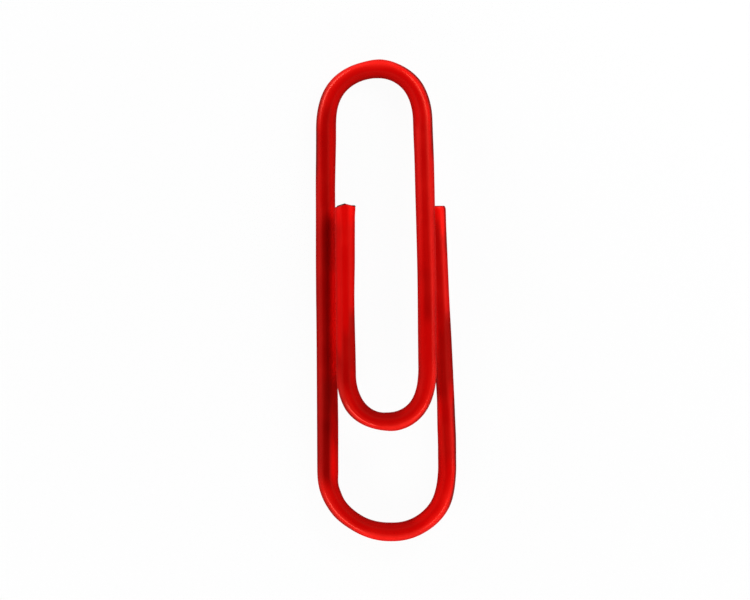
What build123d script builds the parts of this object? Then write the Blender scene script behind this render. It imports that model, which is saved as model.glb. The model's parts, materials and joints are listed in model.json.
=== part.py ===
# Double-loop paper clip of coated steel wire, lying flat.
# +X is across the clip, +Y runs to the single (top) bend, +Z is up.
# The origin is on the desk, under the middle of the outer loop.
# The wire and its coat are each in four lengths that meet at the middle of the three bends,
# because those bends twist when paper goes in.
# Lengths are in millimetres and angles in degrees.

import os
from math import cos, degrees, radians, sin

from build123d import *

# Wire
core_diameter = 0.90
coat_thickness = 0.11

# Bends: each half has a tight crown, and an easier shoulder where the wire sprang back
shoulder_turn = 26.0
crown_flat = 0.10
top_left_crown = 2.72
top_left_shoulder = 4.56
top_right_crown = 2.43
top_right_shoulder = 4.07
outer_left_crown = 3.67
outer_left_shoulder = 3.50
outer_right_crown = 3.05
outer_right_shoulder = 4.72
inner_right_crown = 2.09
inner_right_shoulder = 4.42
inner_left_crown = 2.12
inner_left_shoulder = 3.52

# Legs: length between bends, and how far each leans from +Y in plan
spine_length = 19.76
spine_lean = 0.31
outer_leg_length = 14.96
outer_leg_lean = 2.72
tongue_length = 14.30
tongue_lean = 1.16
inner_leg_length = 9.90
inner_leg_lean = 0.48

# The tongue arches over the end of the outer leg and dips again towards its tip
crossing_gap = 0.05
tongue_tip_dip = 2.0

# Sheared ends: height of the ridge that the cutter leaves across each free end
inner_tip_ridge = 0.17
outer_tip_ridge = 0.10

# The lengths are parted at the middle of each bend
parting_gap = 0.02

coated_diameter = core_diameter + 2 * coat_thickness


def heading(turn, tilt=0.0):
    """Direction at a plan angle from +X, in a plane that rises towards -Y by the tilt."""
    across = cos(radians(turn))
    along = sin(radians(turn))
    return Vector(across, along * cos(radians(tilt)), -along * sin(radians(tilt)))


def bend(point, old, new, radius):
    """Turn the wire from one direction to another, and return the end of the arc."""
    turn = radians(old.get_angle(new))
    inward = (new - old * old.dot(new)).normalized()

    def at(angle):
        return point + old * (radius * sin(angle)) + inward * (radius * (1 - cos(angle)))

    ThreePointArc(point, at(turn / 2), at(turn))
    return at(turn)


def lay(point, direction, *steps):
    """Lay wire from a point: a number is a straight run, a pair is a new direction and a bend radius."""
    for step in steps:
        if isinstance(step, tuple):
            point = bend(point, direction, *step)
            direction = step[0]
        else:
            end = point + direction * step
            Line(point, end)
            point = end
    return point


east = heading(0)
west = heading(180)
half_gap = parting_gap / 2
crown_run = crown_flat - half_gap


def lay_spine(top_apex):
    """Left half of the top bend, the long leg and the left half of the outer bend."""
    down = 270 + spine_lean
    end = lay(
        top_apex + west * half_gap,
        west,
        crown_run,
        (heading(down - shoulder_turn), top_left_crown),
        (heading(down), top_left_shoulder),
        spine_length,
        (heading(down + shoulder_turn), outer_left_shoulder),
        (east, outer_left_crown),
        crown_run,
    )
    return end + east * half_gap


def lay_outer_leg(outer_apex):
    """Right half of the outer bend and the outer free leg."""
    up = 90 + outer_leg_lean
    return lay(
        outer_apex + east * half_gap,
        east,
        crown_run,
        (heading(up - shoulder_turn), outer_right_crown),
        (heading(up), outer_right_shoulder),
        outer_leg_length,
    )


def lay_tongue(top_apex, lift):
    """Right half of the top bend, the arched leg and the right half of the inner bend."""
    down = 270 + tongue_lean
    leg_start = heading(down, lift)
    leg_end = heading(down, -tongue_tip_dip)
    arch_radius = tongue_length / radians(leg_start.get_angle(leg_end))
    end = lay(
        top_apex + east * half_gap,
        east,
        crown_run,
        (heading(down + shoulder_turn, lift), top_right_crown),
        (leg_start, top_right_shoulder),
        (leg_end, arch_radius),
        (heading(down - shoulder_turn, -tongue_tip_dip), inner_right_shoulder),
        (west, inner_right_crown),
        crown_run,
    )
    return end + west * half_gap


def lay_inner_leg(inner_apex):
    """Left half of the inner bend and the inner free leg, level."""
    up = 90 + inner_leg_lean
    return lay(
        inner_apex + west * half_gap,
        west,
        crown_run,
        (heading(up + shoulder_turn), inner_left_crown),
        (heading(up), inner_left_shoulder),
        inner_leg_length,
    )


# The outer loop is laid once at the origin to find its middle
with BuildLine() as outer_loop:
    outer_tip = lay_outer_leg(lay_spine(Vector(0, 0, 0)))
middle = outer_loop.line.bounding_box().center()
top_apex = Vector(-middle.X, -middle.Y, coated_diameter / 2)

# The tongue leaves the top bend steeply enough to clear the outer leg's end by the crossing gap.
# Its slope falls evenly along the leg, so the height there is a parabola.
half_turn = radians(90 - tongue_lean)
crown_turn = half_turn - radians(shoulder_turn)
crown_depth = top_right_crown * (1 - cos(crown_turn))
shoulder_depth = top_right_shoulder * (cos(crown_turn) - cos(half_turn))
bend_depth = crown_depth + shoulder_depth
crossing_run = -outer_tip.Y - bend_depth
levelling = crossing_run**2 / (2 * tongue_length)
crossing_rise = coated_diameter + crossing_gap + radians(tongue_tip_dip) * levelling
tongue_lift = degrees(crossing_rise / (bend_depth + crossing_run - levelling))

with BuildLine() as spine_path:
    outer_apex = lay_spine(top_apex)

with BuildLine() as outer_leg_path:
    outer_tip = lay_outer_leg(outer_apex)

with BuildLine() as tongue_path:
    inner_apex = lay_tongue(top_apex, tongue_lift)

with BuildLine() as inner_leg_path:
    inner_tip = lay_inner_leg(inner_apex)


def sheared_off(tip, turn, ridge):
    """What the cutter takes off a free end: all that lies past a low ridge across it."""
    wide = coated_diameter
    face = Plane(origin=tip, x_dir=heading(turn - 90), z_dir=Vector(0, 0, 1))
    with BuildPart() as waste:
        with BuildSketch(face):
            with BuildLine():
                Polyline((0, 0), (wide, -2 * ridge), (wide, wide), (-wide, wide), (-wide, -2 * ridge), (0, 0))
            make_face()
        extrude(amount=wide, both=True)
    return waste.part


paths = {
    "spine": spine_path,
    "outer_leg": outer_leg_path,
    "tongue": tongue_path,
    "inner_leg": inner_leg_path,
}
cuttings = {
    "outer_leg": sheared_off(outer_tip, 90 + outer_leg_lean, outer_tip_ridge),
    "inner_leg": sheared_off(inner_tip, 90 + inner_leg_lean, inner_tip_ridge),
}

os.makedirs("parts", exist_ok=True)

for name, path in paths.items():
    route = path.wire()
    start = Plane(origin=route @ 0, z_dir=route % 0)

    with BuildPart() as wire:
        with BuildSketch(start):
            Circle(core_diameter / 2)
        sweep(path=route)
        if name in cuttings:
            add(cuttings[name], mode=Mode.SUBTRACT)
    wire.part.label = f"{name}_wire"
    export_step(wire.part, f"parts/{name}_wire.step")

    with BuildPart() as coat:
        with BuildSketch(start):
            Circle(coated_diameter / 2)
            Circle(core_diameter / 2, mode=Mode.SUBTRACT)
        sweep(path=route)
        if name in cuttings:
            add(cuttings[name], mode=Mode.SUBTRACT)
    coat.part.label = f"{name}_coat"
    export_step(coat.part, f"parts/{name}_coat.step")

    print(f"{name}: {route.length:.2f} mm of wire")

print(f"tongue leaves the top bend at {tongue_lift:.2f} degrees")
for point, label in ((top_apex, "top"), (outer_apex, "outer"), (inner_apex, "inner")):
    print(f"{label} bend's middle: {point.X:.4f}, {point.Y:.4f}, {point.Z:.4f}")
print(f"tips: outer {outer_tip.X:.3f}, {outer_tip.Y:.3f}, {outer_tip.Z:.3f}")
print(f"inner {inner_tip.X:.3f}, {inner_tip.Y:.3f}, {inner_tip.Z:.3f}")
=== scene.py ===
# %% [markdown]
# # A red coated paper clip
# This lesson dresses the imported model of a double-loop paper clip. The real clip is one hard steel
# wire inside one red vinyl tube, bent three times and sheared at both ends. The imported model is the
# fixed frame: it gives the bodies, the hinges in the bends and the size, and nothing here moves it.

# %% Load the frame
import json
from collections import namedtuple
from functools import partial
from math import ceil, cos, pi, radians, sin

import bmesh
import bpy
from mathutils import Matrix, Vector


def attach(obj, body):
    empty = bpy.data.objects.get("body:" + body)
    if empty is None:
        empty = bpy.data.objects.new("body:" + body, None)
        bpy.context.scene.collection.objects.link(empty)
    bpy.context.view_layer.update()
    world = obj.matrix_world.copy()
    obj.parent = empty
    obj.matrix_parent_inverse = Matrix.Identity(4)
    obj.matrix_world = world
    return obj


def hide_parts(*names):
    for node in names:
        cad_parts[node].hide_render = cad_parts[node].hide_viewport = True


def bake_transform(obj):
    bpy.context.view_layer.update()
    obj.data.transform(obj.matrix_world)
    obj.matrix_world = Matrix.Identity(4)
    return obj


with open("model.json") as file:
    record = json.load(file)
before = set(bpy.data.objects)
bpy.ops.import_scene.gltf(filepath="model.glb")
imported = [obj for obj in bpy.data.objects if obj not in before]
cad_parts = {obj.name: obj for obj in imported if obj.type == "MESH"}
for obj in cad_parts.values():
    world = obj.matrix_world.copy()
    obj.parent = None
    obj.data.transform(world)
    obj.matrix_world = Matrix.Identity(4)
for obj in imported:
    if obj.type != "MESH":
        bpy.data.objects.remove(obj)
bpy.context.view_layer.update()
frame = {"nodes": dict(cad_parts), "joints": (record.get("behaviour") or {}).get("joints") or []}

MM = 0.001
print("packed nodes:", ", ".join(sorted(frame["nodes"])))

# %% [markdown]
# ## Colours as written
# Blender's default view rolls bright colours off, as film does, and a strong red turns orange in it.
# The Standard view shows each colour about as it is written, which suits a plain product picture.

# %% Standard view
bpy.context.scene.view_settings.view_transform = "Standard"
print("view:", bpy.context.scene.view_settings.view_transform)

# %% [markdown]
# ## The wire's route
# On the real clip a machine pulls wire off a reel and folds it round three pins. Each bend is tight
# at its crown and opens a little at its shoulders, where the wire springs back. The route could be
# traced as one free curve, but straight runs and tangent arcs say better how the clip was bent, and
# they are what the solid model has. So the wire is laid the same way here, from the middle of the
# top bend down both sides.

# %% Sizes of the wire
core_radius = 0.45 * MM
coat_radius = 0.557 * MM
ring_step = 0.10 * MM
print("coated wire:", round(2 * coat_radius / MM, 2), "mm thick")


# %% Laying wire
def heading(turn, tilt=0.0):
    """Direction at a plan angle from +X, in a plane that rises towards -Y by the tilt."""
    across = cos(radians(turn))
    along = sin(radians(turn))
    return Vector((across, along * cos(radians(tilt)), -along * sin(radians(tilt))))


def lay(point, direction, *steps):
    """Lay wire from a point: a number is a straight run, a pair is a new direction and a bend radius."""
    line = [point]
    for step in steps:
        start = line[-1]
        if isinstance(step, tuple):
            new_direction, radius = step
            turn = direction.angle(new_direction)
            inward = (new_direction - direction * direction.dot(new_direction)).normalized()
            rings = ceil(turn * radius * MM / ring_step)
            for ring in range(1, rings + 1):
                angle = turn * ring / rings
                forward = direction * sin(angle) + inward * (1 - cos(angle))
                line.append(start + forward * radius * MM)
            direction = new_direction
        else:
            rings = ceil(step * MM / ring_step)
            for ring in range(1, rings + 1):
                line.append(start + direction * step * MM * ring / rings)
    return line


# %% The middles of the bends
# Turns are in degrees, runs and radii in millimetres.
bend_middle = {joint["name"]: Vector(joint["pos_m"]) for joint in frame["joints"]}
top_middle = bend_middle["tongue_lift"]
shoulder_turn = 26.0
crown_flat = 0.10
east = heading(0)
west = heading(180)
print("top bend's middle:", [round(place / MM, 3) for place in top_middle])

# %% West from the top: the spine, the outer bend and the outer leg
spine_down = 270 + 0.31
spine_run = 19.76
outer_leg_up = 90 + 2.72
outer_leg_run = 14.96
top_west_crown = 2.72
top_west_shoulder = 4.56
outer_west_shoulder = 3.50
outer_west_crown = 3.67
outer_east_crown = 3.05
outer_east_shoulder = 4.72
outer_side = lay(
    top_middle,
    west,
    crown_flat,
    (heading(spine_down - shoulder_turn), top_west_crown),
    (heading(spine_down), top_west_shoulder),
    spine_run,
    (heading(spine_down + shoulder_turn), outer_west_shoulder),
    (east, outer_west_crown),
    2 * crown_flat,
    (heading(outer_leg_up - shoulder_turn), outer_east_crown),
    (heading(outer_leg_up), outer_east_shoulder),
    outer_leg_run,
)


# %% East from the top: the tongue, the inner bend and the inner leg
tongue_down = 270 + 1.16
tongue_run = 14.30
tongue_lift = 9.60
tongue_tip_dip = 2.0
inner_leg_up = 90 + 0.48
inner_leg_run = 9.90
top_east_crown = 2.43
top_east_shoulder = 4.07
inner_east_shoulder = 4.42
inner_east_crown = 2.09
inner_west_crown = 2.12
inner_west_shoulder = 3.52
leg_start = heading(tongue_down, tongue_lift)
leg_end = heading(tongue_down, -tongue_tip_dip)
arch_radius = tongue_run / leg_start.angle(leg_end)
inner_side = lay(
    top_middle,
    east,
    crown_flat,
    (heading(tongue_down + shoulder_turn, tongue_lift), top_east_crown),
    (leg_start, top_east_shoulder),
    (leg_end, arch_radius),
    (heading(tongue_down - shoulder_turn, -tongue_tip_dip), inner_east_shoulder),
    (west, inner_east_crown),
    2 * crown_flat,
    (heading(inner_leg_up + shoulder_turn), inner_west_crown),
    (heading(inner_leg_up), inner_west_shoulder),
    inner_leg_run,
)
inner_tip = inner_side[-1]

# %% [markdown]
# ## Ends of the coat
# The cutter squeezes the vinyl as it shears the wire. On the outer leg the coat closes over the steel
# in a round shoulder. On the inner leg it is left a hair short, with a small shoulder. A bevel on the
# finished tube could round them, but the rings are at hand, so the last of them are set close together
# and the tube's own rule shrinks them. One more ring, right behind the last, makes the flat rim.

# %% Closing up the last rings
lip_rings = 10
rim_step = 0.001 * MM
outer_lip = 0.24 * MM
outer_lip_drop = 0.10 * MM
outer_overhang = 0.045 * MM
inner_lip = 0.12 * MM
inner_lip_drop = 0.04 * MM
inner_pull_back = 0.03 * MM


def close_up(line, past_tip, lip):
    """End a line some way past its tip, with close rings over the length of the lip."""
    tip = line[-1]
    direction = (tip - line[-2]).normalized()
    lip_start = tip + direction * (past_tip - lip)
    kept = list(line)
    while (kept[-1] - lip_start).dot(direction) > -ring_step / 4:
        kept.pop()
    for ring in range(lip_rings + 1):
        kept.append(lip_start + direction * lip * sin(radians(90 * ring / lip_rings)))
    kept.append(kept[-1] + direction * rim_step)
    return kept


outer_side = close_up(outer_side, outer_overhang, outer_lip)
inner_side = close_up(inner_side, -inner_pull_back, inner_lip)
print("rings:", len(outer_side) + len(inner_side))

# %% [markdown]
# ## Three lengths of coat
# The vinyl is one tube on the real clip. A blended piece can follow two bodies at most, so the coat
# is made in three lengths, one round each bend, that meet half way along the spine and the tongue.
# Each ring remembers how far along the wire it is, so that marks in the vinyl run on over the joins.

# %% Rings with their distances
Ring = namedtuple("Ring", "place along to_tip")


def distances(line):
    """Distance of each ring from the first, along the wire."""
    along = [0.0]
    for last, ring in zip(line, line[1:]):
        along.append(along[-1] + (ring - last).length)
    return along


outer_along = distances(outer_side)
inner_along = distances(inner_side)
outer_rings = [
    Ring(place, -far, outer_along[-1] - far) for place, far in zip(outer_side, outer_along)
]
inner_rings = [
    Ring(place, far, inner_along[-1] - far) for place, far in zip(inner_side, inner_along)
]
whole_wire = outer_rings[:0:-1] + inner_rings
print("wire from tip to tip:", round((outer_along[-1] + inner_along[-1]) / MM, 2), "mm")

# %% Parting the rings half way along two legs
spine_half = -15.4 * MM
tongue_half = 12.6 * MM


def nearest_ring(along):
    """The distance of the ring that is nearest to a place along the wire."""
    return min((ring.along for ring in whole_wire), key=lambda far: abs(far - along))


def stretch(start, end):
    """The rings from one distance along the wire to another, both ends taken in."""
    return [ring for ring in whole_wire if start <= ring.along <= end]


spine_join = nearest_ring(spine_half)
tongue_join = nearest_ring(tongue_half)
outer_bend_rings = stretch(-outer_along[-1], spine_join)
top_bend_rings = stretch(spine_join, tongue_join)
inner_bend_rings = stretch(tongue_join, inner_along[-1])
print("rings in each length:", len(outer_bend_rings), len(top_bend_rings), len(inner_bend_rings))

# %% [markdown]
# ## An uneven coat
# Extruded vinyl is never quite even. It thins on the outside of a bend, bunches up on the inside of
# a shoulder, and here it is thickest low on the spine, on the side that faces the loop. Noise could
# make it uneven anywhere, but these places are known, so they are listed: the distance along
# the wire, then how wide the coat is on the side that faces the loop and on the side that faces out.

# %% Marks along the wire: the distance in millimetres, then the inner and the outer width
mark_place, mark_inner, mark_outer = range(3)
coat_marks = (
    (-51.5, 1.02, 1.04),
    (-50.0, 1.00, 1.00),
    (-46.0, 1.00, 0.97),
    (-43.5, 1.00, 1.00),
    (-40.6, 0.84, 1.00),
    (-38.4, 0.94, 0.98),
    (-36.0, 1.06, 0.85),
    (-34.2, 0.95, 1.05),
    (-32.3, 1.00, 0.95),
    (-30.6, 1.02, 0.96),
    (-28.7, 0.94, 0.91),
    (-27.2, 0.89, 1.04),
    (-26.2, 1.00, 1.05),
    (-25.0, 1.22, 1.00),
    (-22.3, 1.24, 1.00),
    (-18.0, 1.14, 1.00),
    (-13.5, 1.09, 1.03),
    (-9.0, 1.04, 1.00),
    (-5.2, 1.18, 0.93),
    (-3.2, 0.95, 1.05),
    (-0.8, 1.04, 0.84),
    (0.2, 1.00, 0.99),
    (1.2, 1.00, 0.93),
    (2.8, 1.02, 1.01),
    (4.6, 1.10, 0.95),
    (7.4, 1.03, 1.02),
    (13.0, 0.98, 1.00),
    (19.2, 1.08, 0.85),
    (20.8, 0.97, 0.95),
    (22.9, 1.00, 1.00),
    (24.0, 0.96, 0.88),
    (25.8, 1.03, 1.04),
    (27.4, 1.04, 1.00),
    (31.7, 0.95, 1.00),
    (34.7, 1.04, 1.00),
    (36.4, 1.07, 1.00),
    (37.3, 1.13, 1.00),
)


def eased(share):
    """A share from 0 to 1 that starts and stops gently."""
    return share * share * (3 - 2 * share)


def coat_width(along, side):
    """Width of the coat on one side at a distance along the wire, eased from mark to mark."""
    for before, after in zip(coat_marks, coat_marks[1:]):
        if along <= after[mark_place] * MM:
            run = after[mark_place] - before[mark_place]
            share = max(0.0, (along / MM - before[mark_place]) / run)
            return before[side] + (after[side] - before[side]) * eased(share)
    return coat_marks[-1][side]


print("widest place:", max(mark[mark_inner] for mark in coat_marks), "of the plain coat")

# %% [markdown]
# ## Painted light and shade patches
# Deeper and paler patches along the vinyl are painted light and shade. The deep ones are painted shadow,
# most of it cast by the raised legs onto the wire beside them, and the pale ones are painted light. Each
# is listed: where it starts and ends along the wire, how far its edges slant from the inner side to the
# outer, and how pale the side that faces the loop, the crown and the side that faces out are there.

# %% Painted light and shade patches: start, end and slant in millimetres, then the inner side, the crown and the outer side
patch_start, patch_end, patch_slant, patch_inner, patch_crown, patch_outer = range(6)
light_and_shade_patches = {
    "outer_tip_end": (-53.0, -51.1, 0.0, 1.40, 1.30, 1.00),
    "outer_tip": (-53.0, -50.6, 1.2, 1.10, 1.15, 1.50),
    "outer_leg_high": (-50.6, -44.3, -1.8, 1.20, 0.78, 1.10),
    "outer_leg_middle": (-44.3, -40.2, -1.8, 0.97, 0.62, 0.60),
    "outer_leg_low": (-40.2, -36.8, 0.0, 1.30, 0.82, 1.05),
    "outer_shoulder": (-36.8, -32.4, 0.0, 1.50, 1.14, 1.14),
    "outer_bend": (-31.3, -27.6, 0.0, 0.88, 0.96, 1.10),
    "spine_foot": (-25.7, -21.8, 0.0, 1.45, 0.46, 0.70),
    "spine_low": (-21.8, -19.6, 0.0, 0.98, 0.49, 0.70),
    "spine_middle": (-19.6, -13.6, 0.0, 1.85, 0.67, 0.77),
    "spine_shade": (-13.6, -9.8, 0.0, 1.30, 0.62, 0.84),
    "spine_high": (-9.8, -3.8, 0.0, 0.95, 0.70, 0.96),
    "top_bend_right": (0.6, 4.4, 0.0, 1.25, 1.00, 1.02),
    "tongue_high": (4.6, 13.2, 0.0, 1.14, 0.84, 1.05),
    "tongue_middle": (13.2, 16.2, -1.5, 1.15, 0.72, 1.05),
    "tongue_low": (16.2, 21.6, -1.5, 1.15, 1.04, 0.98),
    "inner_bend": (22.6, 25.4, 0.0, 0.76, 0.94, 1.02),
    "inner_leg_low": (26.7, 29.9, -2.3, 0.70, 0.74, 0.78),
    "inner_leg_high": (29.9, 36.3, -2.3, 1.20, 1.14, 1.18),
    "inner_tip": (36.3, 38.0, 0.0, 1.40, 1.28, 1.45),
}

# %% Reading the patches, which come in and go out over a short length
patch_ease = 1.2


def cover(here, start, end):
    """How fully a place in millimetres lies between a start and an end, eased at both."""
    inside = min(here - start, end - here) / patch_ease
    return eased(min(1.0, max(0.0, 0.5 + inside)))


def patch_light_and_shade(along, side):
    """How pale the painted light and shade make one side, or the crown, at a distance along the wire."""
    tone = 1.0
    for patch in light_and_shade_patches.values():
        here = along / MM - patch[patch_slant] * (side - patch_crown) / 2
        tone *= 1.0 + (patch[side] - 1.0) * cover(here, patch[patch_start], patch[patch_end])
    return tone


print("patches:", ", ".join(light_and_shade_patches))

# %% [markdown]
# ## Rubbed flanks and painted shade on edges
# The inner leg lies along the spine, and each time the clip is used they rub each other dull. Paper
# dulls the inside of the loops as well, and fingers the crowns of the bends. A dull flank keeps its red
# but scatters the light that it mirrors, so these places are rougher. On the outside of some shoulders,
# and of the outer tip, the vinyl is painted darker along its edge, as painted shade. Both are listed:
# where each starts and ends along the wire, and how dull the inner side, how dull the outer side and
# how dark the painted shade on the outer edge are.

# %% Rubbed and shaded places: start and end in millimetres, then the inner side, the outer side and the painted shade on the outer edge
rub_start, rub_end, rub_inner, rub_outer, painted_edge_shade = range(5)
rubbed_and_edge_shade_places = {
    "outer_tip_edge": (-53.0, -48.8, 0.0, 0.0, 0.50),
    "outer_leg_middle": (-45.0, -40.2, 0.0, 0.7, 0.0),
    "outer_leg_shoulder": (-40.4, -34.2, 0.0, 0.0, 0.67),
    "outer_bend_inside": (-39.0, -25.0, 0.75, 0.0, 0.0),
    "outer_bend_crown": (-32.6, -29.3, 0.0, 0.65, 0.0),
    "spine_low_shoulder": (-29.0, -26.0, 0.0, 0.0, 0.42),
    "spine_outside": (-25.5, -9.8, 0.0, 0.4, 0.0),
    "spine_inside": (-26.2, -2.4, 0.9, 0.0, 0.0),
    "spine_high_shoulder": (-8.0, -2.8, 0.0, 0.0, 0.50),
    "top_bend_inside": (-3.6, 5.2, 0.75, 0.0, 0.0),
    "top_bend_crown": (-0.9, 0.9, 0.0, 0.7, 0.0),
    "tongue_shoulder": (1.2, 6.6, 0.0, 0.0, 0.68),
    "tongue_inside": (4.0, 10.5, 0.35, 0.0, 0.0),
    "inner_bend_inside": (20.5, 27.2, 0.75, 0.0, 0.0),
    "inner_bend_right": (20.2, 21.9, 0.0, 0.0, 0.40),
    "inner_bend_crown": (21.9, 23.4, 0.0, 0.6, 0.0),
    "inner_bend_left": (24.7, 26.4, 0.0, 0.0, 0.45),
    "inner_leg_low": (26.0, 30.2, 0.8, 0.0, 0.0),
    "inner_leg_inside": (29.6, 37.5, 0.35, 0.0, 0.0),
    "inner_leg_over_spine": (26.6, 37.0, 0.0, 0.9, 0.0),
}


def rubbed_or_edge_shade(along, side):
    """How far one side is rubbed, or how dark the painted shade on the outer edge is, at a distance
    along the wire.
    """
    most = 0.0
    for place in rubbed_and_edge_shade_places.values():
        most = max(most, place[side] * cover(along / MM, place[rub_start], place[rub_end]))
    return most


print("rubbed:", ", ".join(rubbed_and_edge_shade_places))

# %% [markdown]
# ## How hard the wire is bent
# Where a bend stretches the vinyl its red turns lighter, and where the bend bunches it up the red is
# deeper. Part of the lighter red is a painted highlight on the outer flanks of the bends, and part of
# the deeper red painted shade on their inner flanks. The tube could be split into zones by hand, but
# the rings already hold the answer: the turn from ring to ring is the bend. A running mean softens it,
# because vinyl creeps.

# %% Bend of each ring
creep_rings = 6


def bends(rings):
    """Strain at the coat's outside, ring by ring: the coat's radius over the bend's radius, softened."""
    points = [ring.place for ring in rings]
    sharp = [0.0]
    for before, here, after in zip(points, points[1:], points[2:]):
        turn = (here - before).angle(after - here)
        sharp.append(coat_radius * turn / max((after - here).length, ring_step / 2))
    sharp.append(0.0)
    soft = []
    for ring in range(len(sharp)):
        near = sharp[max(0, ring - creep_rings):ring + creep_rings + 1]
        soft.append(sum(near) / len(near))
    return soft


print("hardest bend stretches the coat by", round(max(bends(whole_wire)), 2))


# %% [markdown]
# ## Helpers for node trees
# Geometry and shader trees are both built by adding nodes and joining sockets. One helper adds a
# node and takes its inputs by name: a socket is linked, and anything else is set as the value.

# %% Adding nodes
def add_node(tree, kind, inputs=None, **settings):
    """Add a node with its settings, and link or set the inputs given."""
    node = tree.nodes.new(kind)
    for name, value in settings.items():
        setattr(node, name, value)
    for name, value in (inputs or {}).items():
        if isinstance(value, bpy.types.NodeSocket):
            tree.links.new(value, node.inputs[name])
        else:
            node.inputs[name].default_value = value
    return node


def math_of(tree, operation, *values):
    """A math node's result."""
    inputs = dict(enumerate(values))
    return add_node(tree, "ShaderNodeMath", inputs, operation=operation).outputs[0]


def vector_of(tree, operation, *values):
    """A vector math node's vector result."""
    inputs = dict(enumerate(values))
    return add_node(tree, "ShaderNodeVectorMath", inputs, operation=operation).outputs["Vector"]


def scaled(tree, vector, scale):
    """A vector times a number."""
    inputs = {0: vector, "Scale": scale}
    return add_node(tree, "ShaderNodeVectorMath", inputs, operation="SCALE").outputs["Vector"]


def mapped(tree, value, low, high, new_low, new_high, easing="LINEAR"):
    """A value moved from one range to another, and held inside it."""
    inputs = {"Value": value, "From Min": low, "From Max": high, "To Min": new_low, "To Max": new_high}
    return add_node(tree, "ShaderNodeMapRange", inputs, interpolation_type=easing).outputs["Result"]


def noise(tree, place, size, detail, roughness=0.5):
    """Noise with lumps of about a given size."""
    inputs = {"Vector": place, "Scale": 1.0 / size, "Detail": detail, "Roughness": roughness}
    return add_node(tree, "ShaderNodeTexNoise", inputs).outputs["Fac"]


def ramp(tree, value, first, middle, last):
    """A colour between three stops, each a place from 0 to 1 and a colour."""
    node = add_node(tree, "ShaderNodeValToRGB", {"Fac": value})
    stops = node.color_ramp.elements
    stops[0].position, stops[0].color = first
    stops[1].position, stops[1].color = last
    stops.new(middle[0]).color = middle[1]
    return node.outputs["Color"]


def empty_material(name):
    """A new material with no nodes yet."""
    material = bpy.data.materials.new(name)
    material.use_nodes = True
    material.node_tree.nodes.clear()
    return material


print("helpers: add_node, math_of, vector_of, scaled, mapped, noise, ramp, empty_material")

# %% [markdown]
# ## Red vinyl
# The coat is soft PVC drawn over the wire by an extruder. It is satin, with faint lines along the
# wire from the die, a little orange peel where it cooled, and dull scuffs from the box it was sold in.
# Round a bend it is shiny where it is stretched and dull where it is bunched up, and it is rough where
# the flanks are rubbed. Its shine is tinted with the red, which keeps the streaks of light from turning
# pink. Painting this by hand would need an unwrapped picture. Noise read in the straightened wire's own
# coordinates, that each ring carries, does it with no seams and follows every bend.

# %% Vinyl colours: the bunched red is also painted shade, and the stretched red also a painted highlight
bunched_and_shaded_red = (0.46, 0.0006, 0.0006, 1.0)
plain_red = (0.60, 0.0010, 0.0009, 1.0)
stretched_and_lit_red = (0.95, 0.0110, 0.0065, 1.0)
red_gloss = (1.0, 0.15, 0.08, 1.0)
most_stretch = 0.17
print("reds:", bunched_and_shaded_red[0], "bunched,", plain_red[0], "plain,", stretched_and_lit_red[0], "stretched")

# %% What the coat hands to the vinyl
vinyl_coordinates = "coat_coordinates"
vinyl_stretch = "coat_stretch"
vinyl_tone = "coat_tone"
vinyl_gloss = "coat_gloss"
print("the vinyl reads:", vinyl_coordinates, vinyl_stretch, vinyl_tone, vinyl_gloss)

# %% Vinyl grain: sizes, how far each is drawn out along the wire, and what it does to the red
usual_noise = (0.3, 0.7)
die_line_width = 0.11 * MM
die_line_draw = 0.04
die_line_tone = 0.04
cloud_size = 2.4 * MM
cloud_tone = 0.10
peel_size = 0.14 * MM
scuff_size = 0.5 * MM
scuff_draw = 0.35
scuff_noise = (0.58, 0.70)
print("die lines:", round(die_line_width / MM, 2), "mm apart")

# %% Vinyl finish: the roughness, what each kind of wear adds to it, and the relief
plain_roughness = (0.26, 0.34)
scuff_roughness = 0.14
crumple_strain = 0.6 * most_stretch
crumple_roughness = (0.24, -0.09)
handled_side = (0.70 * coat_radius, 0.95 * coat_radius)
handled_roughness = 0.25
rubbed_roughness = 0.65
vinyl_specular = 0.35
die_line_relief = 0.6
peel_relief = 0.4
relief_strength = 0.35
relief_depth = 0.006 * MM
print("plain roughness:", plain_roughness)


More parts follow.
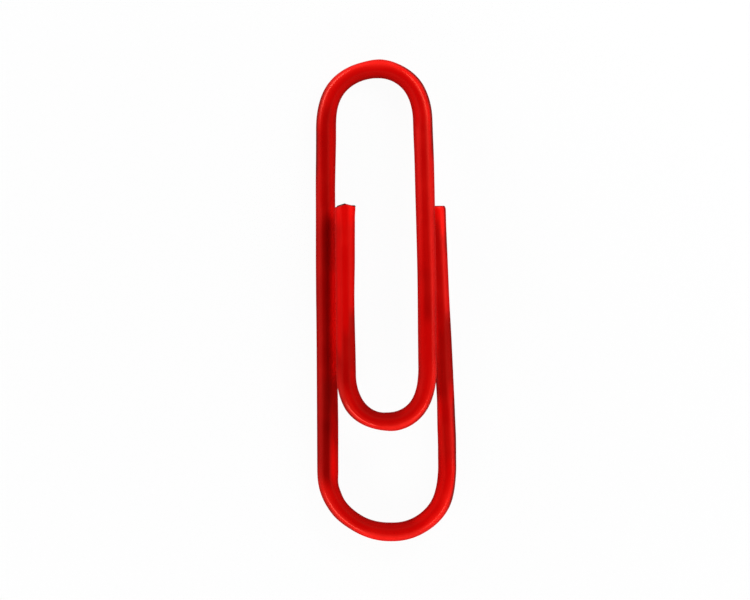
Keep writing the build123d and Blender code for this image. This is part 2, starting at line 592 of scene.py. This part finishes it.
# %% Vinyl material
def make_red_vinyl():
    """Satin red vinyl with die lines along the wire, orange peel, scuffs, rubbed flanks and painted
    light and shade.
    """
    material = empty_material("red_vinyl")
    tree = material.node_tree
    wire = add_node(tree, "ShaderNodeAttribute", attribute_name=vinyl_coordinates).outputs["Vector"]
    strain = add_node(tree, "ShaderNodeAttribute", attribute_name=vinyl_stretch).outputs["Fac"]
    # The coat's tone holds painted light and shade: the patches, the painted shade on the sides and
    # outer edges, and the darker tips.
    patch = add_node(tree, "ShaderNodeAttribute", attribute_name=vinyl_tone).outputs["Fac"]
    gloss = add_node(tree, "ShaderNodeAttribute", attribute_name=vinyl_gloss).outputs["Fac"]
    drawn_out = vector_of(tree, "MULTIPLY", wire, (1.0, 1.0, die_line_draw))
    die_lines = noise(tree, drawn_out, die_line_width, detail=3.0, roughness=0.6)
    clouds = noise(tree, wire, cloud_size, detail=2.0)
    peel = noise(tree, wire, peel_size, detail=1.0, roughness=0.4)
    scuff_place = vector_of(tree, "MULTIPLY", wire, (1.0, 1.0, scuff_draw))
    scuffs = noise(tree, scuff_place, scuff_size, detail=4.0, roughness=0.65)

    # The stretch lightens the red and the bunching deepens it, partly for real and partly as a painted
    # highlight on the outer flanks of bends and painted shade on their inner flanks.
    tone = mapped(tree, strain, -most_stretch, most_stretch, 0.0, 1.0)
    for lumps, depth in ((clouds, cloud_tone), (die_lines, die_line_tone)):
        tone = math_of(tree, "ADD", tone, mapped(tree, lumps, *usual_noise, -depth, depth))
    red = ramp(tree, tone, (0.0, bunched_and_shaded_red), (0.5, plain_red), (1.0, stretched_and_lit_red))

    satin = mapped(tree, clouds, *usual_noise, *plain_roughness)
    scuffed = mapped(tree, scuffs, *scuff_noise, 0.0, scuff_roughness, "SMOOTHSTEP")
    crumpled = mapped(tree, strain, -crumple_strain, crumple_strain, *crumple_roughness)
    across = add_node(tree, "ShaderNodeSeparateXYZ", {"Vector": wire}).outputs["X"]
    handled = mapped(tree, math_of(tree, "ABSOLUTE", across), *handled_side, 0.0, handled_roughness)
    dulled = mapped(tree, gloss, 0.0, 1.0, rubbed_roughness, 0.0)
    for wear in (scuffed, crumpled, handled, dulled):
        satin = math_of(tree, "ADD", satin, wear)
    satin = math_of(tree, "MINIMUM", satin, 1.0)

    line_relief = math_of(tree, "MULTIPLY", die_lines, die_line_relief)
    relief = math_of(tree, "ADD", line_relief, math_of(tree, "MULTIPLY", peel, peel_relief))
    bump_inputs = {"Height": relief, "Strength": relief_strength, "Distance": relief_depth}
    bump = add_node(tree, "ShaderNodeBump", bump_inputs).outputs["Normal"]
    shader_inputs = {
        "Base Color": scaled(tree, red, patch),
        "Roughness": satin,
        "Normal": bump,
        "Specular IOR Level": vinyl_specular,
        "Specular Tint": red_gloss,
    }
    shader = add_node(tree, "ShaderNodeBsdfPrincipled", shader_inputs)
    add_node(tree, "ShaderNodeOutputMaterial", {"Surface": shader.outputs["BSDF"]})
    return material


red_vinyl = make_red_vinyl()
print("material:", red_vinyl.name, "with", len(red_vinyl.node_tree.nodes), "nodes")

# %% [markdown]
# ## Bare steel
# The steel shows only at the two sheared ends: grey and dull on the faces, where it tore, and stained a
# dark olive by the drawing soap round its sides. The solid model's own wire is right in shape, so it
# stays and takes this material. The legs run nearly along Y, so the faces are found by their normals.

# %% Steel colours and grain
stained_steel = (0.35, (0.060, 0.045, 0.020, 1.0))
clean_steel = (0.75, (0.24, 0.19, 0.11, 1.0))
torn_steel = (0.95, (0.66, 0.64, 0.60, 1.0))
steel_grain = 0.07 * MM
steel_roughness = (0.55, 0.32)
torn_normal = (0.80, 0.97)
torn_lift = 0.40
torn_roughness = 0.15
pit_strength = 0.5
pit_depth = 0.008 * MM
print("steel grain:", round(steel_grain / MM, 2), "mm")


# %% Steel material
def make_sheared_steel():
    """Dull drawn steel, dark with soap round its sides and grey on its torn faces."""
    material = empty_material("sheared_steel")
    tree = material.node_tree
    place = add_node(tree, "ShaderNodeTexCoord").outputs["Object"]
    grain = noise(tree, place, steel_grain, detail=3.0, roughness=0.6)
    normal = add_node(tree, "ShaderNodeNewGeometry").outputs["Normal"]
    lengthways = add_node(tree, "ShaderNodeSeparateXYZ", {"Vector": normal}).outputs["Y"]
    torn = mapped(tree, math_of(tree, "ABSOLUTE", lengthways), *torn_normal, 0.0, 1.0)
    shade = math_of(tree, "MULTIPLY_ADD", torn, torn_lift, grain)
    roughness = mapped(tree, grain, *usual_noise, *steel_roughness)
    bump_inputs = {"Height": grain, "Strength": pit_strength, "Distance": pit_depth}
    bump = add_node(tree, "ShaderNodeBump", bump_inputs).outputs["Normal"]
    shader_inputs = {
        "Base Color": ramp(tree, shade, stained_steel, clean_steel, torn_steel),
        "Roughness": math_of(tree, "MULTIPLY_ADD", torn, torn_roughness, roughness),
        "Normal": bump,
        "Metallic": 1.0,
    }
    shader = add_node(tree, "ShaderNodeBsdfPrincipled", shader_inputs)
    add_node(tree, "ShaderNodeOutputMaterial", {"Surface": shader.outputs["BSDF"]})
    return material


sheared_steel = make_sheared_steel()
wire_nodes = [name for name in frame["nodes"] if name.endswith("_wire")]
for name in wire_nodes:
    wire_mesh = frame["nodes"][name].data
    wire_mesh.materials.clear()
    wire_mesh.materials.append(sheared_steel)
print("steel on:", ", ".join(wire_nodes))

# %% [markdown]
# ## Drawing the coat
# A tube along a path is a job for Geometry Nodes: the path is a line of points, a circle is swept
# along it, and the rule for the coat is written once for all three lengths. The tube widens where it
# was marked, ripples by a few thousandths of a millimetre, and at a free end rounds over, takes the
# low ridge that the cutter leaves, and opens in a bore for the steel. The helpers are bound to this one
# tree first, so that each line below says only what it does.

# %% The tree, and the helpers bound to it
coat_tree = bpy.data.node_groups.new("drawn_coat", "GeometryNodeTree")
coat_node = partial(add_node, coat_tree)
coat_math = partial(math_of, coat_tree)
coat_vector = partial(vector_of, coat_tree)
coat_scaled = partial(scaled, coat_tree)
coat_eased = partial(mapped, coat_tree, easing="SMOOTHSTEP")
print("tree:", coat_tree.name)


# %% The tree's inputs
def new_input(name, kind):
    """A named input of the tree, by its identifier."""
    return coat_tree.interface.new_socket(name=name, in_out="INPUT", socket_type=kind).identifier


new_input("Rings", "NodeSocketGeometry")
coat_inputs = {
    name: new_input(name, kind)
    for name, kind in {
        "Coat Radius": "NodeSocketFloat",
        "Core Radius": "NodeSocketFloat",
        "Facets": "NodeSocketInt",
        "Ripple": "NodeSocketFloat",
        "Ripple Length": "NodeSocketFloat",
        "Ripple Seed": "NodeSocketInt",
        "Lip": "NodeSocketFloat",
        "Lip Drop": "NodeSocketFloat",
        "Ridge": "NodeSocketFloat",
        "Ridge Offset": "NodeSocketFloat",
        "Bore Depth": "NodeSocketFloat",
        "Vinyl": "NodeSocketMaterial",
    }.items()
}
coat_tree.interface.new_socket(name="Coat", in_out="OUTPUT", socket_type="NodeSocketGeometry")
given = coat_tree.nodes.new("NodeGroupInput").outputs
print("inputs of the coat:", ", ".join(coat_inputs))


# %% Reading and keeping values
def read_ring(name):
    """A value that the rings carry."""
    return coat_node("GeometryNodeInputNamedAttribute", {"Name": name}).outputs["Attribute"]


def position():
    """The place of each point as it is now."""
    return coat_node("GeometryNodeInputPosition").outputs["Position"]


def keep(geometry, value):
    """Keep a vector on the points as they are now, and return the geometry and the kept vector."""
    node = coat_node("GeometryNodeCaptureAttribute")
    node.capture_items.new("VECTOR", "kept")
    coat_tree.links.new(geometry, node.inputs["Geometry"])
    coat_tree.links.new(value, node.inputs["kept"])
    return node.outputs["Geometry"], node.outputs["kept"]


def store(geometry, name, kind, value):
    """Store a named value on the points, for the material to read."""
    inputs = {"Geometry": geometry, "Name": name, "Value": value}
    node = coat_node("GeometryNodeStoreNamedAttribute", inputs, data_type=kind, domain="POINT")
    return node.outputs["Geometry"]


to_tip = read_ring("to_tip")
along = read_ring("along")
print("each ring knows its distance along the wire and to its tip")

# %% The radius of each ring, with the rounded lip and the rim
into_lip = coat_math("SUBTRACT", 1.0, coat_math("DIVIDE", to_tip, given["Lip"]))
into_lip = coat_node("ShaderNodeClamp", {"Value": into_lip}).outputs[0]
lip_square = coat_math("MULTIPLY", into_lip, into_lip)
lip_round = coat_math("SQRT", coat_math("SUBTRACT", 1.0, lip_square))
lip_drop = coat_math("MULTIPLY", coat_math("SUBTRACT", 1.0, lip_round), given["Lip Drop"])
lip_radius = coat_math("SUBTRACT", given["Coat Radius"], lip_drop)
has_lip = coat_math("GREATER_THAN", given["Lip"], 0.0)
at_rim = coat_math("MULTIPLY", has_lip, coat_math("LESS_THAN", to_tip, rim_step / 2))
rim_drop = coat_math("MULTIPLY", at_rim, coat_math("SUBTRACT", lip_radius, given["Core Radius"]))
ring_radius = coat_math("SUBTRACT", lip_radius, rim_drop)
print("nodes up to the radius:", len(coat_tree.nodes))

# %% Sweeping the tube
line = coat_node("GeometryNodeMeshToCurve", {"Mesh": given["Rings"]}).outputs["Curve"]
line = coat_node("GeometryNodeSetCurveNormal", {"Curve": line}, mode="Z_UP").outputs["Curve"]
line, middle = keep(line, position())
line, forward = keep(line, coat_node("GeometryNodeInputTangent").outputs["Tangent"])
circle_inputs = {"Resolution": given["Facets"], "Radius": 1.0}
circle = coat_node("GeometryNodeCurvePrimitiveCircle", circle_inputs, mode="RADIUS").outputs["Curve"]
circle, round_place = keep(circle, position())
sweep_inputs = {"Curve": line, "Profile Curve": circle, "Scale": ring_radius, "Fill Caps": True}
tube = coat_node("GeometryNodeCurveToMesh", sweep_inputs).outputs["Mesh"]
print("nodes up to the sweep:", len(coat_tree.nodes))

# %% What the vinyl reads: the straightened wire's coordinates and the stretch
wrapped = coat_vector("MULTIPLY", round_place, (coat_radius, coat_radius, 0.0))
down_the_wire = coat_node("ShaderNodeCombineXYZ", {"Z": along}).outputs["Vector"]
straightened = coat_vector("ADD", wrapped, down_the_wire)
tube = store(tube, vinyl_coordinates, "FLOAT_VECTOR", straightened)

facing_in = coat_node("ShaderNodeSeparateXYZ", {"Vector": round_place}).outputs["X"]
facing_out = coat_math("MULTIPLY", facing_in, -1.0)
stretch_here = coat_math("MULTIPLY", read_ring("bend"), facing_out)
tube = store(tube, vinyl_stretch, "FLOAT", stretch_here)
print("stored:", vinyl_coordinates, "and", vinyl_stretch)

# %% What the vinyl reads: painted light and shade from the patches, painted shade on the sides and outer edges, and darker tips
painted_side_shade = 0.62
tip_darkening = 0.35
tip_darkening_length = 0.09 * MM
flank_band = (0.15, 0.60)
edge_band = (0.62, 0.95)
inner_share = coat_eased(facing_in, *flank_band, 0.0, 1.0)
outer_share = coat_eased(facing_out, *flank_band, 0.0, 1.0)
crown_share = coat_math("SUBTRACT", coat_math("SUBTRACT", 1.0, inner_share), outer_share)
tone = coat_math("MULTIPLY", crown_share, read_ring("crown_tone"))
tone = coat_math("MULTIPLY_ADD", inner_share, read_ring("inner_tone"), tone)
tone = coat_math("MULTIPLY_ADD", outer_share, read_ring("outer_tone"), tone)
sideness = coat_math("ABSOLUTE", facing_in)
# Painted shade on both sides of the wire, deepening the red towards its edges.
tone = coat_math("MULTIPLY", tone, coat_eased(sideness, *edge_band, 1.0, painted_side_shade))
# The red is darker over the last few hundredths of a millimetre before each tip.
tone = coat_math("MULTIPLY", tone, coat_eased(to_tip, 0.0, tip_darkening_length, tip_darkening, 1.0))
# Painted shade along the outer edge, where the list gives it.
edge_share = coat_eased(facing_out, *edge_band, 0.0, 1.0)
darkened = coat_math("MULTIPLY", edge_share, read_ring("edge_dark"))
tone = coat_math("MULTIPLY", tone, coat_math("SUBTRACT", 1.0, darkened))
tube = store(tube, vinyl_tone, "FLOAT", tone)
print("stored:", vinyl_tone)

# %% What the vinyl reads: less gloss on the rubbed flanks and on all handled sides
side_gloss = 0.45
inner_loss = coat_math("MULTIPLY", inner_share, read_ring("inner_dull"))
outer_loss = coat_math("MULTIPLY", outer_share, read_ring("outer_dull"))
gloss = coat_math("SUBTRACT", coat_math("SUBTRACT", 1.0, inner_loss), outer_loss)
gloss = coat_math("MULTIPLY", gloss, coat_eased(sideness, *edge_band, 1.0, side_gloss))
tube = store(tube, vinyl_gloss, "FLOAT", gloss)
print("stored:", vinyl_gloss)

# %% Widening where the coat was marked, but not at the rim, which has to fit the steel
outward = coat_vector("SUBTRACT", position(), middle)
sideways = coat_vector("MULTIPLY", outward, (1.0, 1.0, 0.0))


def widening(side, name):
    """How much wider the coat is on one side than the plain coat, most at the middle of that side."""
    share = coat_math("MAXIMUM", side, 0.0)
    return coat_math("MULTIPLY", share, coat_math("SUBTRACT", read_ring(name), 1.0))


wider = coat_math("ADD", widening(facing_in, "inner_width"), widening(facing_out, "outer_width"))
wider = coat_math("MULTIPLY", wider, coat_math("SUBTRACT", 1.0, at_rim))
widened = coat_scaled(sideways, wider)
print("nodes up to the widening:", len(coat_tree.nodes))

# %% Ripples, always inwards so that the coat stays inside its box
ripple_inputs = {
    "Vector": straightened,
    "W": given["Ripple Seed"],
    "Scale": coat_math("DIVIDE", 1.0, given["Ripple Length"]),
    "Detail": 1.0,
}
ripple_noise = coat_node("ShaderNodeTexNoise", ripple_inputs, noise_dimensions="4D").outputs["Fac"]
ripple_depth = coat_math("MULTIPLY", ripple_noise, given["Ripple"])
inward = coat_scaled(coat_vector("NORMALIZE", outward), -1.0)
rippled = coat_scaled(inward, ripple_depth)
print("nodes up to the ripples:", len(coat_tree.nodes))

# %% The ridge that the cutter leaves across a free end
ridge_reach = 0.8 * MM
side_reach = coat_node("ShaderNodeVectorMath", {0: sideways}, operation="LENGTH").outputs["Value"]
side_place = coat_math("MULTIPLY", side_reach, coat_math("SIGN", facing_in))
from_ridge = coat_math("ABSOLUTE", coat_math("SUBTRACT", side_place, given["Ridge Offset"]))
side_share = coat_math("DIVIDE", from_ridge, given["Coat Radius"])
ridge_fade = coat_eased(to_tip, 0.0, ridge_reach, 1.0, 0.0)
ridge_drop = coat_math("MULTIPLY", coat_math("MULTIPLY", side_share, given["Ridge"]), ridge_fade)
from_tip = coat_math("MULTIPLY", coat_math("SIGN", along), -1.0)
ridged = coat_scaled(forward, coat_math("MULTIPLY", ridge_drop, from_tip))

moved = coat_vector("ADD", coat_vector("ADD", widened, rippled), ridged)
tube = coat_node("GeometryNodeSetPosition", {"Geometry": tube, "Offset": moved}).outputs["Geometry"]
print("nodes up to the ridge:", len(coat_tree.nodes))

# %% Boring the free end, whose end face has more corners than the tube's own faces
tube_corners = 4.0
rim_reach = 0.8 * rim_step
corners = coat_node("GeometryNodeInputMeshFaceNeighbors").outputs["Vertex Count"]
is_end = coat_math("GREATER_THAN", corners, tube_corners)
is_rim = coat_math("MULTIPLY", has_lip, coat_math("LESS_THAN", to_tip, rim_reach))
bore_inputs = {
    "Mesh": tube,
    "Selection": coat_math("MULTIPLY", is_end, is_rim),
    "Offset Scale": coat_math("MULTIPLY", given["Bore Depth"], -1.0),
}
bored = coat_node("GeometryNodeExtrudeMesh", bore_inputs, mode="FACES").outputs
flat = coat_math("MAXIMUM", coat_math("MAXIMUM", is_end, is_rim), bored["Side"])
print("nodes up to the bore:", len(coat_tree.nodes))

# %% Finishing the tree
smooth_inputs = {"Geometry": bored["Mesh"], "Shade Smooth": True}
coat = coat_node("GeometryNodeSetShadeSmooth", smooth_inputs).outputs["Geometry"]
flat_inputs = {"Geometry": coat, "Selection": flat, "Shade Smooth": False}
coat = coat_node("GeometryNodeSetShadeSmooth", flat_inputs).outputs["Geometry"]
coat = coat_node("GeometryNodeRealizeInstances", {"Geometry": coat}).outputs["Geometry"]
finish_inputs = {"Geometry": coat, "Material": given["Vinyl"]}
coat = coat_node("GeometryNodeSetMaterial", finish_inputs).outputs["Geometry"]
coat_node("NodeGroupOutput", {"Coat": coat})
print("nodes in the coat's tree:", len(coat_tree.nodes))

# %% Drawing a length
coat_facets = 64
ripple = 0.006 * MM
ripple_length = 1.4 * MM
ripple_seed = 5
bore_depth = 0.4 * MM


def draw_coat(name, rings, lip=0.0, drop=0.0, ridge=0.0, offset=0.0):
    """Sweep one length of coat along its rings and keep it as a plain mesh."""
    path = bpy.data.meshes.new(name + "_rings")
    steps = [(ring, ring + 1) for ring in range(len(rings) - 1)]
    path.from_pydata([ring.place for ring in rings], steps, [])
    for label, values in {
        "along": [ring.along for ring in rings],
        "to_tip": [ring.to_tip for ring in rings],
        "inner_width": [coat_width(ring.along, mark_inner) for ring in rings],
        "outer_width": [coat_width(ring.along, mark_outer) for ring in rings],
        "bend": bends(rings),
        "inner_tone": [patch_light_and_shade(ring.along, patch_inner) for ring in rings],
        "crown_tone": [patch_light_and_shade(ring.along, patch_crown) for ring in rings],
        "outer_tone": [patch_light_and_shade(ring.along, patch_outer) for ring in rings],
        "inner_dull": [rubbed_or_edge_shade(ring.along, rub_inner) for ring in rings],
        "outer_dull": [rubbed_or_edge_shade(ring.along, rub_outer) for ring in rings],
        "edge_dark": [rubbed_or_edge_shade(ring.along, painted_edge_shade) for ring in rings],
    }.items():
        path.attributes.new(label, "FLOAT", "POINT").data.foreach_set("value", values)
    piece = bpy.data.objects.new(name, path)
    bpy.context.scene.collection.objects.link(piece)
    drawing = piece.modifiers.new("drawn_coat", "NODES")
    drawing.node_group = coat_tree
    for label, value in {
        "Coat Radius": coat_radius,
        "Core Radius": core_radius,
        "Facets": coat_facets,
        "Ripple": ripple,
        "Ripple Length": ripple_length,
        "Ripple Seed": ripple_seed,
        "Lip": lip,
        "Lip Drop": drop,
        "Ridge": ridge,
        "Ridge Offset": offset,
        "Bore Depth": bore_depth,
        "Vinyl": red_vinyl,
    }.items():
        drawing[coat_inputs[label]] = value
    seen = piece.evaluated_get(bpy.context.evaluated_depsgraph_get())
    mesh = bpy.data.meshes.new_from_object(seen)
    mesh.name = name
    piece.modifiers.remove(drawing)
    piece.data = mesh
    bpy.data.meshes.remove(path)
    print(name, "has", len(mesh.polygons), "faces")
    return piece


# %% The three lengths
inner_ridge = 0.16 * MM
inner_ridge_offset = 0.09 * MM
outer_ridge = 0.02 * MM
outer_bend_coat = draw_coat("outer_bend_coat", outer_bend_rings, outer_lip, outer_lip_drop, outer_ridge)
top_bend_coat = draw_coat("top_bend_coat", top_bend_rings)
inner_bend_coat = draw_coat(
    "inner_bend_coat", inner_bend_rings, inner_lip, inner_lip_drop, inner_ridge, inner_ridge_offset
)

# %% [markdown]
# ## A burr on the inner tip
# The cutter leaves a dark sliver of steel standing at one corner of the inner leg's end, where it
# broke through last. It is too small and too ragged for the solid model. A few sections lofted round
# the corner of the rim make it: thin at both ends, and leaning out over the vinyl in the middle.

# %% Burr
burr_sections = 9
burr_from = -34.0
burr_to = 36.0
burr_root = 0.41 * MM
burr_lean = 0.25 * MM
burr_top = 0.095 * MM
burr_depth = 0.17 * MM
burr_thin = 0.06
lean_ragged = 0.12
lean_pace = 9.0
crest_lift = 1.06
crest_ragged = 0.05
crest_pace = 7.0
burr_smoothing = 2


def make_burr():
    """A sliver of steel round the corner of the inner tip that faces the loop."""
    leg = heading(inner_leg_up)
    across = heading(inner_leg_up - 90)
    upward = Vector((0.0, 0.0, 1.0))
    mesh = bmesh.new()
    last = None
    for section in range(burr_sections):
        share = section / (burr_sections - 1)
        angle = radians(burr_from + (burr_to - burr_from) * share)
        radial = across * cos(angle) + upward * sin(angle)
        swell = sin(pi * (burr_thin + (1 - 2 * burr_thin) * share))
        ragged = 1.0 + lean_ragged * sin(lean_pace * section)
        root = inner_tip + radial * burr_root
        edge = inner_tip + radial * (burr_root + burr_lean * swell * ragged)
        crest = leg * -burr_top
        foot = leg * -(burr_top + burr_depth * swell)
        edge_crest = crest * (crest_lift + crest_ragged * cos(crest_pace * section))
        corners = (root + crest, edge + edge_crest, edge + foot, root + foot)
        ring = [mesh.verts.new(corner) for corner in corners]
        if last:
            for side in range(4):
                after = (side + 1) % 4
                mesh.faces.new((last[side], last[after], ring[after], ring[side]))
        else:
            mesh.faces.new(ring)
        last = ring
    mesh.faces.new(reversed(last))
    bmesh.ops.recalc_face_normals(mesh, faces=mesh.faces)
    data = bpy.data.meshes.new("inner_tip_burr")
    mesh.to_mesh(data)
    mesh.free()
    data.materials.append(sheared_steel)
    burr = bpy.data.objects.new("inner_tip_burr", data)
    bpy.context.scene.collection.objects.link(burr)
    rounding = burr.modifiers.new("rounding", "SUBSURF")
    rounding.levels = burr_smoothing
    rounding.render_levels = burr_smoothing
    return burr


inner_tip_burr = make_burr()
print("burr:", [round(size / MM, 3) for size in inner_tip_burr.dimensions], "mm")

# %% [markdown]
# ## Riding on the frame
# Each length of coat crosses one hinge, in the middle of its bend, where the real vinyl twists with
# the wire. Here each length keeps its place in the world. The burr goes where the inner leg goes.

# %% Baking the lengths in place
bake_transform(outer_bend_coat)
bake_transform(top_bend_coat)
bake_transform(inner_bend_coat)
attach(inner_tip_burr, "inner_leg")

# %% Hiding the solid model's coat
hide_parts("outer_leg_coat", "spine_coat")
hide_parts("tongue_coat")
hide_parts("inner_leg_coat")
print("pieces: three lengths of coat and a burr")

# %% [markdown]
# ## White floor
# The clip lies on a plain white sheet. Enough lamps to make white paper pure white would wash out the
# red. So the sheet is nearly clear to the camera, which sees a white backdrop through it, and the rest
# of it is paper that takes the clip's shadow. Being clear, it also lets the outer leg be seen, and lit,
# where the flexed leg dips below it. A mirror image in the vinyl shows the sheet dimmed, as it is close
# to the wire.

# %% Floor
floor_half = 150 * MM
floor_drop = 0.001 * MM
paper_white = (0.80, 0.80, 0.80, 1.0)
pure_white = (1.0, 1.0, 1.0, 1.0)
seen_through = 0.96
mirrored_glow = 0.08


def make_floor():
    """A sheet under the clip, clear to the camera and the lamps but for the clip's own shadow."""
    mesh = bpy.data.meshes.new("white_sheet")
    outline = ((-1, -1), (1, -1), (1, 1), (-1, 1))
    corners = [(x * floor_half, y * floor_half, -floor_drop) for x, y in outline]
    mesh.from_pydata(corners, [], [(0, 1, 2, 3)])
    sheet = bpy.data.objects.new("white_sheet", mesh)
    bpy.context.scene.collection.objects.link(sheet)
    material = empty_material("white_sheet")
    tree = material.node_tree
    paper = add_node(tree, "ShaderNodeBsdfDiffuse", {"Color": paper_white}).outputs["BSDF"]
    clear = add_node(tree, "ShaderNodeBsdfTransparent").outputs["BSDF"]
    glow_inputs = {"Color": pure_white, "Strength": mirrored_glow}
    glow = add_node(tree, "ShaderNodeEmission", glow_inputs).outputs["Emission"]
    path = add_node(tree, "ShaderNodeLightPath").outputs
    seen = math_of(tree, "MAXIMUM", path["Is Camera Ray"], path["Is Transmission Ray"])
    share = math_of(tree, "MULTIPLY", seen, seen_through)
    share = math_of(tree, "MAXIMUM", share, path["Is Shadow Ray"])
    upper = add_node(tree, "ShaderNodeMixShader", {0: share, 1: paper, 2: clear}).outputs["Shader"]
    mirror_inputs = {0: path["Is Glossy Ray"], 1: upper, 2: glow}
    upper = add_node(tree, "ShaderNodeMixShader", mirror_inputs).outputs["Shader"]
    underside = add_node(tree, "ShaderNodeNewGeometry").outputs["Backfacing"]
    side_inputs = {0: underside, 1: upper, 2: clear}
    shader = add_node(tree, "ShaderNodeMixShader", side_inputs).outputs["Shader"]
    add_node(tree, "ShaderNodeOutputMaterial", {"Surface": shader})
    mesh.materials.append(material)


make_floor()
print("floor:", round(2 * floor_half / MM), "mm square")

# %% [markdown]
# ## Camera
# The clip is seen straight down through a long lens, so that the raised tongue is hardly larger than
# the loop under it. The picture is 750 pixels wide, and the clip sits a little right of its middle.

# %% Long lens
image_width = 750
view_width = 43.5 * MM
clip_right_of_centre = 11.5
clip_below_centre = 0.45
lens = 300.0
sensor = 36.0
nearest_seen = 10 * MM
lens_height = view_width * lens / sensor

camera_data = bpy.data.cameras.new("long_lens")
camera_data.lens = lens
camera_data.sensor_width = sensor
camera_data.clip_start = nearest_seen
camera = bpy.data.objects.new("long_lens", camera_data)
pixel = view_width / image_width
camera.location = (-clip_right_of_centre * pixel, clip_below_centre * pixel, lens_height + coat_radius)
bpy.context.scene.collection.objects.link(camera)
bpy.context.scene.camera = camera
print("camera is", round(camera.location.z / MM), "mm above the sheet")

# %% [markdown]
# ## Light
# A clip this small is lit on a table top. One soft box looks down over its right shoulder, and four
# low strips stand round it. A low strip puts a streak of light on the flank of a round wire and leaves
# its crown deep red, where one big box overhead would do the opposite. Each lamp is a rectangle that
# lies on its long side and faces the clip, placed by its bearing, its reach and its height.

# %% Soft boxes: bearing in degrees, then reach, height, width and depth in millimetres, then watts
soft_boxes = {
    "over_right_shoulder": (48.0, 60.0, 38.0, 50.0, 20.0, 0.037),
    "front_left": (235.0, 67.0, 24.0, 60.0, 12.0, 0.034),
    "front_right": (305.0, 66.0, 26.0, 60.0, 12.0, 0.022),
    "right": (0.0, 67.0, 27.0, 30.0, 12.0, 0.010),
    "back_left": (138.0, 70.0, 17.0, 60.0, 12.0, 0.036),
}
aim_across = 0.15
aim_along = 0.25
aim_height = 1.0 * MM


def hang_soft_box(name, bearing, reach, height, width, depth, watts):
    """A strip lamp at a bearing from +X, lying on its long side and aimed at the clip."""
    lamp_data = bpy.data.lights.new(name, "AREA")
    lamp_data.shape = "RECTANGLE"
    lamp_data.size = width * MM
    lamp_data.size_y = depth * MM
    lamp_data.energy = watts
    lamp = bpy.data.objects.new(name, lamp_data)
    across = cos(radians(bearing))
    along = sin(radians(bearing))
    lamp.location = Vector((across * reach, along * reach, height)) * MM
    target = Vector((aim_across * lamp.location.x, aim_along * lamp.location.y, aim_height))
    aim = target - lamp.location
    lamp.rotation_mode = "QUATERNION"
    lamp.rotation_quaternion = aim.to_track_quat("-Z", "Y")
    lamp.visible_camera = False
    bpy.context.scene.collection.objects.link(lamp)


for name, box in soft_boxes.items():
    hang_soft_box(name, *box)
print("soft boxes:", ", ".join(soft_boxes))

# %% [markdown]
# ## A dim room and a white backdrop
# A little grey light from all round keeps the shaded sides of the wire from going black, as the walls
# of a room do. More of it would flatten the flanks that the soft boxes model. So only what looks at
# the room, and not what it lights, finds a backdrop of pure white.

# %% Dim room
room_grey = (0.8, 0.8, 0.8, 1.0)
room_strength = 0.02


def make_room():
    """A dim grey world that is pure white to the camera, and faintly so in mirror images."""
    world = bpy.data.worlds.new("dim_room")
    world.use_nodes = True
    tree = world.node_tree
    tree.nodes.clear()
    room = add_node(tree, "ShaderNodeBackground", {"Color": room_grey, "Strength": room_strength})
    backdrop = add_node(tree, "ShaderNodeBackground", {"Color": pure_white, "Strength": 1.0})
    path = add_node(tree, "ShaderNodeLightPath").outputs
    seen = math_of(tree, "MAXIMUM", path["Is Camera Ray"], path["Is Transmission Ray"])
    mirrored = math_of(tree, "MULTIPLY", path["Is Glossy Ray"], mirrored_glow)
    seen = math_of(tree, "MAXIMUM", seen, mirrored)
    mix_inputs = {0: seen, 1: room.outputs["Background"], 2: backdrop.outputs["Background"]}
    shader = add_node(tree, "ShaderNodeMixShader", mix_inputs).outputs["Shader"]
    add_node(tree, "ShaderNodeOutputWorld", {"Surface": shader})
    return world


bpy.context.scene.world = make_room()
print("room light:", room_strength)
